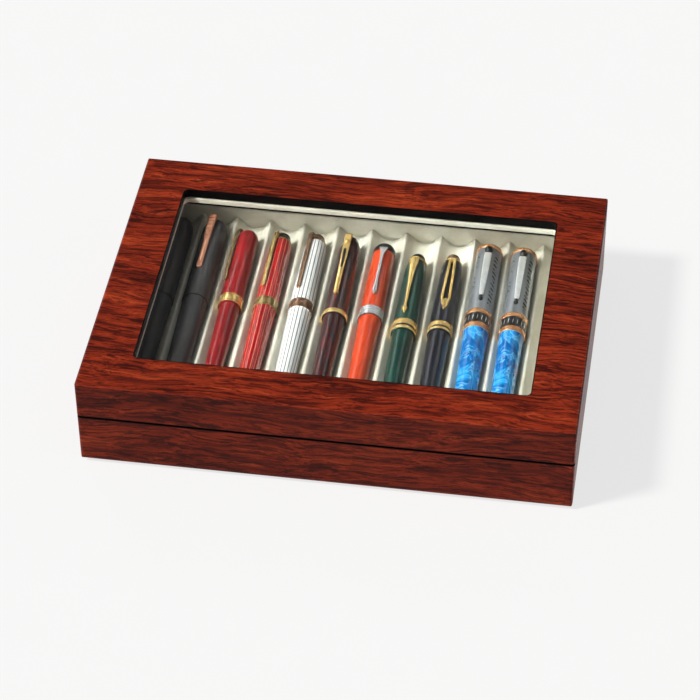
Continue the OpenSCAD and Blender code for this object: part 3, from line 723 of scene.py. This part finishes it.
class Pen:
    """One pen: its sizes in millimetres, its looks, and its place, taken from the frame."""

    def __init__(self, number, cap_l, lip_r, shoulder_r, end_l, end_power, barrel_r, barrel_l,
                 cap_look, barrel_look, slot, flutes=0):
        self.name = f"pen_{number:02d}"
        self.cap_l = cap_l
        self.lip_r = lip_r
        self.shoulder_r = shoulder_r
        self.end_l = end_l
        self.end_power = end_power
        self.barrel_r = barrel_r
        self.barrel_l = barrel_l
        self.cap_look = cap_look
        self.barrel_look = barrel_look
        self.slot = slot
        self.flutes = flutes
        self.matrix = self.place()

    def place(self):
        """The lip's centre at the origin and the cap along +Z, moved to where the CAD cap lies."""
        lo, hi = [Vector(c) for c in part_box(self.name + "_cap")]
        tilt = math.asin((self.lip_r - self.barrel_r * 0.95) / (0.7 * self.barrel_l))
        radius = (hi.x - lo.x) / 2
        lip = Vector(((lo.x + hi.x) / 2, lo.y + radius * math.sin(tilt), lo.z + radius * math.cos(tilt)))
        turn = Matrix.Rotation(tilt, 4, "X") @ Matrix.Rotation(math.radians(-90), 4, "X")
        return Matrix.Translation(lip) @ turn

    def cap_radius(self, z):
        """Radius of the cap at a height above its lip."""
        straight = self.cap_l - self.end_l
        if z <= straight:
            return lerp(self.lip_r, self.shoulder_r, z / straight)
        share = min(1.0, (z - straight) / self.end_l)
        return self.shoulder_r * max(0.0, 1 - share ** self.end_power) ** (1 / self.end_power)

    def side_radius(self, z):
        """Radius of the cap's side, carried on straight past its shoulder."""
        straight = self.cap_l - self.end_l
        return lerp(self.lip_r, self.shoulder_r, min(1.0, z / straight))

    def add(self, part, name, shape, material):
        """A piece of this pen, in place of the CAD node of its part."""
        piece = new_object(f"{self.name}_{name}", *shape, material, self.matrix)
        stand_in(piece, f"{self.name}_{part}", self.name)

    def shells(self, cut=0.0):
        """The cap, cut flat near its end where a finial sits, and the barrel."""
        self.cap(cut)
        self.barrel()

    def turned(self, outline):
        """The shape of a shell, with this pen's flutes along it."""
        segments, flute_depth, flute_width = 144, 0.12, 0.22
        return lathe(outline, segments, self.flutes, flute_depth, flute_width)

    def cap(self, cut=0.0):
        """The cap, cut flat near its end where a finial sits."""
        straight = self.cap_l - self.end_l
        lip = 0.25
        outline = [(0, 0), (self.lip_r - lip, 0), (self.lip_r, lip)]
        outline += [(self.cap_radius(straight * i / 8), straight * i / 8) for i in range(1, 8)]
        steps = 28
        for i in range(steps + 1):
            z = straight + self.end_l * math.sin(math.radians(90 * i / steps))
            if z < self.cap_l - cut - 0.05:
                outline.append((max(0.02, self.cap_radius(z)), z))
        top = self.cap_l - cut
        if cut:
            outline.append((self.cap_radius(top), top))
        outline.append((0, top))
        self.add("cap", "cap_shell", self.turned(outline), self.cap_look)

    def barrel(self):
        """The barrel below the lip, with a plain spigot up into the cap."""
        tail_l = 12.0
        tail_power = 2.2
        straight = self.barrel_l - tail_l
        taper = 0.86
        spigot_r, spigot_l, bevel = 4.8, 12.0, 0.2
        outline = [(0, spigot_l), (spigot_r - bevel, spigot_l), (spigot_r, spigot_l - bevel),
                   (spigot_r, 0.0), (self.barrel_r, -0.02)]
        for i in range(1, 8):
            outline.append((lerp(self.barrel_r, self.barrel_r * taper, i / 8), -straight * i / 8))
        steps = 24
        for i in range(steps + 1):
            share = math.sin(math.radians(90 * i / steps))
            radius = self.barrel_r * taper * max(0.0, 1 - share ** tail_power) ** (1 / tail_power)
            outline.append((max(0.02, radius), -straight - tail_l * share))
        outline.append((0, -self.barrel_l))
        self.add("barrel", "barrel_shell", self.turned(outline[::-1]), self.barrel_look)

    def skirt(self, name, start, end, material, proud=0.12):
        """A skin over the cap's shoulder, from one height above the lip to another."""
        skin = [(0, start)]
        for i in range(9):
            z = lerp(start, end, i / 8)
            skin.append((self.cap_radius(z) + proud, z))
        skin.append((0, end))
        self.add("trim", name, lathe(skin, 96), material)

    def band(self, name, start, width, proud, material, crown=0.0, edge=0.2):
        """A ring round the cap, from a height above the lip, standing a little proud of it."""
        radius = self.cap_radius(start + width / 2)
        shape = ring(radius - 0.6, radius + proud, start, start + width, edge, 112, crown)
        self.add("trim", name, shape, material)

    def clip_sections(self, stations, turn, points=20, squareness=2.6, ribs=None, detail=8):
        """Closed rings of a clip, from stations of (height above the lip, height off the cap's side,
        half width, half thickness), and then how far to the side if it isn't in the middle."""
        outward, sideways = cap_directions(turn)
        rings = []
        for z, rise, half_w, half_t, *aside in catmull(stations, detail):
            radius = self.side_radius(z) + rise
            if ribs:
                low, high, depth, pitch = ribs
                inside = smoothstep((z - low) / 1.5) * smoothstep((high - z) / 1.5)
                wave = 0.5 - 0.5 * math.cos(TURN * (z - low) / pitch)
                half_t *= 1 - depth * inside * wave
                half_w *= 1 - 0.35 * depth * inside * wave
            loop = []
            for j in range(points):
                angle = TURN * j / points
                c, s = math.cos(angle), math.sin(angle)
                u = math.copysign(abs(c) ** (2 / squareness), c) * max(0.05, half_w) + sum(aside)
                v = math.copysign(abs(s) ** (2 / squareness), s) * max(0.05, half_t)
                p = outward * (radius + v) + sideways * u
                loop.append((p.x, p.y, z))
            rings.append(loop)
        return rings

    def clip(self, name, stations, turn, material, **looks):
        """A clip or a part of one, turned by degrees from the top of the cap to its right."""
        self.add("trim", name, loft(self.clip_sections(stations, turn, **looks)), material)

    def bead(self, name, z, rise, radius, turn, material, stretch=1.0):
        """A small ball on the cap, drawn out along the pen by stretch."""
        outward, sideways = cap_directions(turn)
        middle = outward * (self.side_radius(z) + rise)
        steps, points = 10, 20
        rings = []
        for i in range(steps + 1):
            angle = math.radians(180 * i / steps)
            r = max(0.04, radius * math.sin(angle))
            centre = middle + Vector((0, 0, z + radius * stretch * math.cos(angle)))
            ring_angles = [TURN * j / points for j in range(points)]
            rings.append([tuple(centre + (outward * math.sin(a) + sideways * math.cos(a)) * r)
                          for a in ring_angles])
        self.add("trim", name, loft(rings), material)

    def finial(self, name, outline, material):
        """A turned end on the cap, from (radius, height above the cap's end) points."""
        points = [(r, z + self.cap_l) for r, z in outline]
        self.add("trim", name, lathe(points, 96), material)

    def disc(self, name, radius, low, high, edge, material):
        """A turned disc between two heights above the cap's end, its edges rounded."""
        self.finial(name, fillet([(0, low), (radius, low), (radius, high), (0, high)], edge), material)


def cap_directions(turn):
    """Out of a cap and along its side, at an angle in degrees from its top to its right."""
    turn = math.radians(turn)
    # Local +Y is the pen's underside, so the top of the cap is along -Y
    return Vector((math.sin(turn), -math.cos(turn), 0)), Vector((math.cos(turn), math.sin(turn), 0))


def slots(number, barrel="body"):
    """The slot names of a kind of pen, whose barrel may have one of its own."""
    return {"cap": f"pen_body_{number:02d}", "barrel": f"pen_{barrel}_{number:02d}",
            "trim": f"pen_trim_{number:02d}"}


def dome(radius, height, start=0.0, power=2.0):
    """Outline of a domed disc that starts on the axis."""
    points = [(0, start), (radius, start)]
    steps = 14
    for i in range(1, steps + 1):
        share = math.sin(math.radians(90 * i / steps))
        r = radius * max(0.0, 1 - share ** power) ** (1 / power)
        points.append((max(0.02, r), start + height * share))
    points.append((0, start + height))
    return points


def black_matte(number, clip_turn):
    """Pens 01 and 02: matte black with a ribbed rose-gold clip."""
    pen = Pen(number, 74, 7.9, 7.6, 13, 2.2, 7.5, 76, MATTE_BLACK, MATTE_BLACK, slots(1))
    pen.shells()
    # The joint of cap and barrel is a darker ring, its dark partly the joint itself and partly painted shade
    # of the seam's groove
    pen.band("seam_and_shade_ring", 0.0, 0.6, 0.04, GLOSS_BLACK, edge=0.08)
    stations = [
        (70.4, -3.0, 1.2, 0.6), (71.2, -0.8, 2.0, 0.8), (70.6, 0.9, 2.6, 0.95), (64, 1.2, 2.7, 1.0),
        (57, 1.2, 2.4, 0.95), (51.5, 1.1, 2.35, 0.9), (49, 0.95, 1.8, 0.7), (40, 0.9, 1.75, 0.6),
        (30, 0.75, 1.7, 0.55), (26.5, 0.7, 1.75, 0.75), (24.5, 0.65, 1.8, 0.9), (23.4, 0.6, 0.9, 0.5),
    ]
    pen.clip("clip", stations, clip_turn, ROSE_GOLD, ribs=(51, 70.5, 0.42, 3.2), detail=14)


def red_gold_band():
    """Pen 03: deep red with a gold band."""
    look = resin("deep_red_lacquer", srgb(142, 24, 28), srgb(104, 15, 19))
    pen = Pen(3, 68, 7.0, 6.6, 9, 2.3, 6.1, 72, look, look, slots(3))
    pen.shells()
    pen.band("cap_band_low", 0.2, 1.0, 0.3, GOLD, crown=0.08, edge=0.25)
    pen.band("cap_band_ground", 1.1, 4.8, 0.1, DARK_METAL, edge=0.05)
    pen.band("cap_band", 1.5, 4.0, 0.2, GOLD, crown=0.06)
    pen.band("cap_band_high", 5.8, 1.0, 0.3, GOLD, crown=0.08, edge=0.25)
    stations = [
        (65.4, -2.4, 1.0, 0.5), (65.8, -0.5, 1.5, 0.6), (64.6, 0.9, 1.6, 0.65), (60, 1.6, 1.55, 0.6),
        (46, 1.9, 1.4, 0.55), (33, 1.6, 1.2, 0.5), (26, 1.0, 1.0, 0.5), (23.5, 0.8, 1.1, 0.65),
        (21.5, 0.9, 1.3, 0.75), (20.2, 1.1, 1.0, 0.5), (19.6, 1.4, 0.3, 0.3),
    ]
    pen.clip("clip", stations, -52, OLD_GOLD)
    ridge = [(z, rise + 0.5, 0.35, 0.22) for z, rise, _, _ in stations[3:6]]
    pen.clip("clip_ridge", ridge, -52, OLD_GOLD, points=12)


def pinstriped(number, look, trim_metal, flutes):
    """Pens 04 and 05: fine lines along the pen, and a round crown."""
    red = number == 4
    cap_l, end_l, width, cut, collar_r = (69, 13, 7.4, 3.4, 4.8) if red else (69.7, 14, 7.6, 3.2, 4.6)
    pen = Pen(number, cap_l, 7.1, 6.5, end_l, 2.1, 6.7, 72, look, look, slots(number), flutes)
    pen.shells(cut=cut)
    pen.band("cap_band_low", 0.2, 1.0, 0.26, trim_metal, crown=0.06, edge=0.2)
    pen.band("cap_band_ground", 1.1, width - 1.9, 0.08, DARK_METAL, edge=0.05)
    pen.band("cap_band_wide", 1.6, width - 2.9, 0.16, trim_metal, edge=0.1)
    pen.band("cap_band_high", width - 0.9, 1.0, 0.26, trim_metal, crown=0.06, edge=0.2)
    # The crown's skirt covers the cap's shoulder, and its dome sits on the cut end
    start = cap_l - cut - 3.6
    pen.skirt("crown_skirt", start, cap_l - cut, GLOSS_BLACK if red else BROWN_GOLD)
    pen.band("crown_line", start - 0.8, 0.8, 0.2, trim_metal, edge=0.2)
    pen.disc("crown_collar", collar_r, -cut, 0.6 - cut, 0.2, GLOSS_BLACK if red else trim_metal)
    pen.finial("crown", dome(collar_r - 0.2, cut, 0.55 - cut, power=2.5), GLOSS_BLACK)
    top = cap_l - 3
    stations = [
        (top - 0.4, -3.0, 0.9, 0.5), (top + 0.4, -0.9, 1.3, 0.6), (top - 0.4, 0.7, 1.35, 0.65),
        (top - 5, 1.35, 1.35, 0.6), (41, 1.3, 1.35, 0.55), (23, 0.95, 1.3, 0.5), (18, 0.85, 1.3, 0.5),
        (16.5, 0.8, 1.0, 0.4),
    ]
    pen.clip("clip", stations, -26, trim_metal, squareness=4.5)
    ridge = [(z - 0.4, rise + 0.46, 0.35, 0.2) for z, rise, _, _ in stations[3:]]
    pen.clip("clip_ridge", ridge, -26, GOLD if red else trim_metal, points=12)


def streaked_brown():
    """Pen 06: brown with red streaks, and a clip with a slot in it."""
    look = resin("streaked_brown_resin", srgb(46, 32, 32), srgb(24, 18, 20), 0.75, srgb(112, 20, 22))
    pen = Pen(6, 73.5, 7.4, 6.6, 18, 2.0, 6.5, 70, look, look, slots(6))
    pen.shells()
    pen.band("cap_band", 0.2, 3.3, 0.3, GOLD, crown=0.22, edge=0.4)
    stations = [
        (69.4, -3.2, 1.2, 0.5), (69.8, -0.8, 1.9, 0.8), (68.2, 0.8, 2.3, 0.95), (66, 1.1, 2.3, 0.9),
        (63, 1.3, 2.15, 0.7), (54, 1.4, 2.05, 0.55), (42, 1.2, 1.75, 0.5), (34, 1.1, 1.6, 0.65),
        (26, 0.95, 1.55, 0.65), (19, 0.8, 1.5, 0.6), (18, 0.75, 1.2, 0.5),
    ]
    pen.clip("clip", stations, -10, GOLD, squareness=3.2)
    slot = [
        (55.6, 1.6, 0.2, 0.2), (54, 1.78, 1.0, 0.24), (46, 1.64, 0.95, 0.24), (38, 1.5, 0.8, 0.24),
        (36.2, 1.3, 0.2, 0.2),
    ]
    pen.clip("clip_slot", slot, -10, GLOSS_BLACK, points=14)
    pen.bead("clip_boss", 61, 1.75, 1.7, -10, GOLD, 1.3)
    pen.bead("clip_ball", 16.9, 0.85, 1.65, -10, GOLD, 1.0)


def orange_black_dome():
    """Pen 07: orange with a black domed end and three chrome bands."""
    look = resin("orange_lacquer", srgb(190, 64, 28), srgb(166, 50, 22), roughness=0.34)
    pen = Pen(7, 61, 7.1, 6.6, 1, 3.0, 6.5, 70, look, look, slots(7))
    pen.shells()
    pen.skirt("cap_ring", 58.6, 60.2, DARK_METAL)
    pen.disc("collar", 6.75, -0.9, 1.5, 0.3, DARK_METAL)
    pen.disc("black_ring", 6.45, 1.5, 2.4, 0.3, GLOSS_BLACK)
    pen.finial("black_dome", dome(6.15, 3.9, 2.35), GLOSS_BLACK)
    pen.band("cap_band_low", 0.2, 0.9, 0.25, DARK_METAL, edge=0.2)
    pen.band("cap_band_one", 1.1, 2.2, 0.3, CHROME, crown=0.14, edge=0.35)
    pen.band("cap_band_two", 3.3, 1.8, 0.24, CHROME, crown=0.14, edge=0.35)
    pen.band("cap_band_three", 5.1, 2.2, 0.3, CHROME, crown=0.14, edge=0.35)
    pen.band("cap_band_high", 7.5, 0.8, 0.2, CHROME, crown=0.1, edge=0.25)
    stations = [
        (60.0, 0.2, 2.7, 0.35), (58.8, 0.5, 2.5, 0.45), (55.8, 0.95, 1.6, 0.5), (52.5, 1.2, 1.05, 0.5),
        (48, 1.3, 0.88, 0.5), (36, 1.2, 0.82, 0.5), (28, 1.0, 0.9, 0.55), (24.5, 0.95, 1.15, 0.7),
        (21.5, 0.9, 1.3, 0.85), (19, 0.85, 1.1, 0.75), (17.3, 0.8, 0.3, 0.3),
    ]
    pen.clip("clip", stations, 0, CHROME)


def green_cigar():
    """Pen 08: dark green and rounded at its end, with a ball at the tip of its clip."""
    look = resin("dark_green_resin", srgb(20, 62, 52), srgb(11, 38, 34))
    pen = Pen(8, 69.5, 7.4, 6.5, 22, 2.4, 6.4, 68, look, look, slots(8))
    pen.shells(cut=4.0)
    pen.band("clip_ring", 62.4, 1.3, 0.55, GOLD, crown=0.1, edge=0.35)
    pen.skirt("finial_skirt", 63.7, 65.5, GLOSS_BLACK, 0.2)
    pen.disc("finial_collar", 4.6, -4.0, -3.0, 0.35, GLOSS_BLACK)
    pen.finial("finial_tip", dome(4.3, 3.8, -3.05, power=2.3), GLOSS_BLACK)
    pen.band("cap_band_lip", 0.2, 2.2, 0.3, GOLD, crown=0.1, edge=0.4)
    pen.band("cap_gap", 2.3, 1.7, 0.08, GLOSS_BLACK, edge=0.05)
    pen.band("cap_band_wide", 3.9, 4.3, 0.3, GOLD, crown=0.35, edge=0.5)
    stations = [
        (62.8, -1.8, 1.2, 0.5), (63.0, -0.7, 1.9, 0.65), (62.0, 0.4, 2.5, 0.75), (59.8, 1.0, 2.7, 0.8),
        (55, 1.35, 2.35, 0.7), (48, 1.5, 1.7, 0.6), (38, 1.35, 1.2, 0.55), (28, 1.0, 0.92, 0.5),
        (20, 0.8, 0.8, 0.5), (17.5, 0.75, 0.8, 0.5),
    ]
    pen.clip("clip", stations, -8, GOLD)
    crease = [(62, 1.5, 0.2, 0.2), (58, 1.85, 0.6, 0.28), (52, 2.05, 0.5, 0.25), (46, 2.0, 0.1, 0.2)]
    pen.clip("clip_crease", crease, -8, GOLD, points=12)
    pen.bead("clip_ball", 15.8, 0.75, 1.75, -8, GOLD, 1.15)
    pen.bead("clip_drop", 13.6, 0.5, 0.8, -8, GOLD, 1.4)


def loop_clipped():
    """Pen 09: blue-black, with a clip that opens into a loop."""
    look = resin("blue_black_resin", srgb(30, 29, 34), srgb(16, 16, 21), 0.4, srgb(26, 28, 66))
    pen = Pen(9, 70.6, 7.1, 6.3, 16, 2.2, 6.5, 70, look, look, slots(9))
    pen.shells(cut=2.6)
    pen.band("clip_ring", 63.2, 1.0, 0.3, GOLD, crown=0.08, edge=0.3)
    pen.skirt("crown_skirt", 64.2, 68.0, BROWN_GOLD, 0.15)
    pen.disc("crown_ring", 4.1, -2.6, -1.6, 0.3, BROWN_GOLD)
    pen.finial("crown_dome", dome(3.85, 2.0, -1.65, power=2.4), BROWN_GOLD)
    pen.band("cap_band_thin", 0.8, 1.5, 0.28, GOLD, crown=0.1, edge=0.3)
    pen.band("cap_gap", 2.2, 1.8, 0.06, GLOSS_BLACK, edge=0.05)
    pen.band("cap_band_wide", 3.9, 3.5, 0.28, GOLD, crown=0.16, edge=0.4)
    # Two arms leave the crown together, spread, and meet in a solid point
    arm = [
        (62.8, -0.8, 0.6), (61.8, 0.5, 1.0), (59, 1.1, 1.3), (51, 1.5, 1.6), (40, 1.5, 1.9), (30, 1.2, 2.15),
        (26, 1.05, 2.15), (22.5, 0.95, 1.2), (20.5, 0.9, 0.5),
    ]
    for side, label in ((-1, "left"), (1, "right")):
        stations = [(z, rise, 0.82, 0.6, side * spread) for z, rise, spread in arm]
        pen.clip(f"clip_arm_{label}", stations, 4, GOLD, points=16, squareness=2)
    tip = [
        (26, 0.9, 0.4, 0.3), (24, 0.95, 2.0, 0.6), (22, 0.95, 2.1, 0.75), (19, 0.85, 1.2, 0.7),
        (16.4, 0.8, 0.15, 0.3),
    ]
    pen.clip("clip_tip", tip, 4, GOLD)
    head = [
        (63.4, -1.6, 1.0, 0.5), (63.6, -0.5, 1.6, 0.7), (62.2, 0.6, 2.0, 0.8), (60, 1.0, 1.9, 0.75),
        (58, 1.2, 1.2, 0.6),
    ]
    pen.clip("clip_head", head, 4, GOLD)


def engraved_cap(number):
    """Pens 10 and 11: a steel cap with marks along it, and a marbled blue barrel."""
    pen = Pen(number, 71.2, 7.7, 7.5, 1, 3.0, 7.3, 72, ENGRAVED, MARBLED, slots(10, "barrel"))
    pen.shells()
    crown = [(0, -0.9), (7.8, -0.9), (7.95, 0.4), (7.95, 1.3), (7.2, 2.4), (0, 2.4)]
    pen.finial("crown_ring", fillet(crown, 0.7), COPPER)
    pen.finial("crown_dome", dome(5.6, 1.4, 2.35), COPPER)
    pen.band("cap_ring_low", 0.2, 3.6, 0.35, COPPER, crown=0.2, edge=0.5)
    pen.band("cap_ring_high", 12.0, 3.4, 0.3, COPPER, crown=0.2, edge=0.5)
    pen.band("pattern_band", 3.7, 8.4, 0.06, GLOSS_BLACK, edge=0.05)
    # A plain row of thin slanted bars goes round the dark band
    count = 18
    middle = 7.9
    corners = ((0.3, 0.9), (0.08, 2.8), (-0.3, -0.9), (-0.08, -2.8))
    radius = pen.cap_radius(middle)
    verts, faces = [], []
    for i in range(count):
        turn = TURN * (i + 0.5) / count
        outward = Vector((math.cos(turn), math.sin(turn), 0))
        sideways = Vector((-math.sin(turn), math.cos(turn), 0))
        rings = []
        for level, size in ((radius - 0.3, 1.0), (radius + 0.22, 0.75)):
            rings.append([tuple(outward * level + sideways * u * size + Vector((0, 0, middle + v * size)))
                          for u, v in corners])
        join(verts, faces, loft(rings))
    pen.add("trim", "band_bars", (verts, faces), SILVER)
    stations = [
        (64.4, 0.0, 1.7, 0.5), (63.4, 0.9, 2.1, 0.7), (60, 1.3, 2.2, 0.75), (52, 1.45, 2.1, 0.7),
        (42, 1.3, 1.85, 0.65), (34, 1.05, 1.65, 0.6), (29.5, 0.85, 1.5, 0.65), (27.6, 0.8, 1.5, 0.85),
        (26.2, 0.75, 0.9, 0.5),
    ]
    pen.clip("clip", stations, 0, BRIGHT_SILVER, squareness=3.4)
    pen.bead("clip_mount", 67.0, 0.2, 2.45, 0, GLOSS_BLACK, 1.2)
    pen.bead("clip_neck", 25.2, 0.6, 1.0, 0, GLOSS_BLACK)
    pen.bead("clip_ball", 23.2, 0.6, 1.35, 0, GLOSS_BLACK)


def all_pens():
    """The eleven pens, from left to right."""
    black_matte(1, -72)
    black_matte(2, -12)
    red_gold_band()
    red_lines = lined("red_pinstriped_lacquer", srgb(164, 18, 24), srgb(126, 12, 18), srgb(206, 128, 104),
                      count=16, width=0.14)
    silver_lines = lined("silver_lined_plate", srgb(248, 248, 248), srgb(232, 233, 236), srgb(70, 64, 64),
                         count=18, width=0.22, metallic=0.1, roughness=0.36)
    pinstriped(4, red_lines, OLD_GOLD, 16)
    pinstriped(5, silver_lines, BROWN_GOLD, 18)
    streaked_brown()
    orange_black_dome()
    green_cigar()
    loop_clipped()
    engraved_cap(10)
    engraved_cap(11)


# ---- stage, light, camera

def stage_and_light():
    """A pale floor, the room's light and a key light."""
    world = bpy.data.worlds.new("studio")
    bpy.context.scene.world = world
    world.use_nodes = True
    tree = world.node_tree
    background = tree.nodes["Background"]
    background.inputs["Color"].default_value = (1.0, 1.0, 1.0, 1.0)
    # A pale room, brightest in front and dark behind, where the lacquer and the glass would mirror it
    direction = tree.nodes.new("ShaderNodeTexCoord").outputs["Generated"]
    parts = tree.nodes.new("ShaderNodeSeparateXYZ")
    tree.links.new(direction, parts.inputs[0])

    def fade(value, near, far, near_value, far_value):
        """near_value where the value is near, easing to far_value where it is far."""
        node = tree.nodes.new("ShaderNodeMapRange")
        node.interpolation_type = "SMOOTHSTEP"
        tree.links.new(value, node.inputs["Value"])
        limits = {"From Min": near, "From Max": far, "To Min": near_value, "To Max": far_value}
        for name, number in limits.items():
            node.inputs[name].default_value = number
        return node.outputs["Result"]

    def total(a, b):
        """The sum of two outputs."""
        node = tree.nodes.new("ShaderNodeMath")
        tree.links.new(a, node.inputs[0])
        tree.links.new(b, node.inputs[1])
        return node.outputs[0]

    strength = fade(parts.outputs["Y"], -0.3, 0.7, 0.4, 0.03)
    # Two soft boxes high at the back, left and right of the dark part, draw lines of light along the pens
    for towards, power in (((-0.50, 0.73, 0.47), 2.6), ((0.32, 0.73, 0.60), 1.5)):
        dot = tree.nodes.new("ShaderNodeVectorMath")
        dot.operation = "DOT_PRODUCT"
        tree.links.new(direction, dot.inputs[0])
        dot.inputs[1].default_value = Vector(towards).normalized()
        outside, inside = math.cos(math.radians(11)), math.cos(math.radians(7))
        strength = total(strength, fade(dot.outputs["Value"], outside, inside, 0.0, power))
    tree.links.new(strength, background.inputs["Strength"])

    # Paper lit from below as well as above, so that shadows on it stay pale
    paper = Shade("pale_floor", Roughness=0.9, Specular_IOR_Level=0.0, Emission_Strength=0.74,
                  Emission_Color=(1.0, 1.0, 1.0, 1.0))
    paper.surface(paper.mix(paper.noise(paper.point, 0.02, 2.0), (0.17, 0.17, 0.17), (0.18, 0.18, 0.18)))
    size = 6000.0
    # A hair below the felt, so that the two faces never coincide
    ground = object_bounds()[0][2] / MM - 0.1
    verts = [(-size, -size, ground), (size, -size, ground), (size, size, ground), (-size, size, ground)]
    floor = new_object("floor", verts, [(0, 1, 2, 3)], paper.material)

    # The key light comes from the left, a little in front, about as high as it is far
    key = bpy.data.lights.new("key", "SUN")
    key.energy = 3.4
    key.angle = math.radians(9.0)
    key.color = (1.0, 0.98, 0.95)
    key_object = bpy.data.objects.new("key", key)
    towards = Vector((-0.8, -0.4, 1.0))
    key_object.rotation_euler = towards.to_track_quat("Z", "Y").to_euler()
    bpy.context.scene.collection.objects.link(key_object)


def camera():
    """Looks down on the case from the front, a little to its right."""
    azimuth, elevation, roll = math.radians(9.03), math.radians(42.04), math.radians(-0.62)
    distance = 1634.8 * MM
    aim = Vector((2.6, -20.8, 30.0)) * MM
    forward = Vector((-math.sin(azimuth) * math.cos(elevation), math.cos(azimuth) * math.cos(elevation),
                      -math.sin(elevation)))
    level = forward.cross(Vector((0, 0, 1))).normalized()
    upright = level.cross(forward)
    right = level * math.cos(roll) + upright * math.sin(roll)
    up = right.cross(forward)
    data = bpy.data.cameras.new("camera")
    data.lens = 145.6
    data.sensor_width = 36.0
    data.clip_end = 20.0
    view = bpy.data.objects.new("camera", data)
    position = aim - forward * distance
    turn = Matrix((right, up, -forward)).transposed().to_4x4()
    view.matrix_world = Matrix.Translation(position) @ turn
    bpy.context.scene.collection.objects.link(view)
    bpy.context.scene.camera = view


bpy.context.scene.view_settings.view_transform = "Standard"
dress_case()
slotted_screws("base")
slotted_screws("lid")
frame_boards("base_liner_boards", "base", IVORY)
frame_boards("lid_lining_boards", "lid", BLACK_FLOCK)
padded_frame()
felt_underside()
velvet_tray()
all_pens()
stage_and_light()
camera()
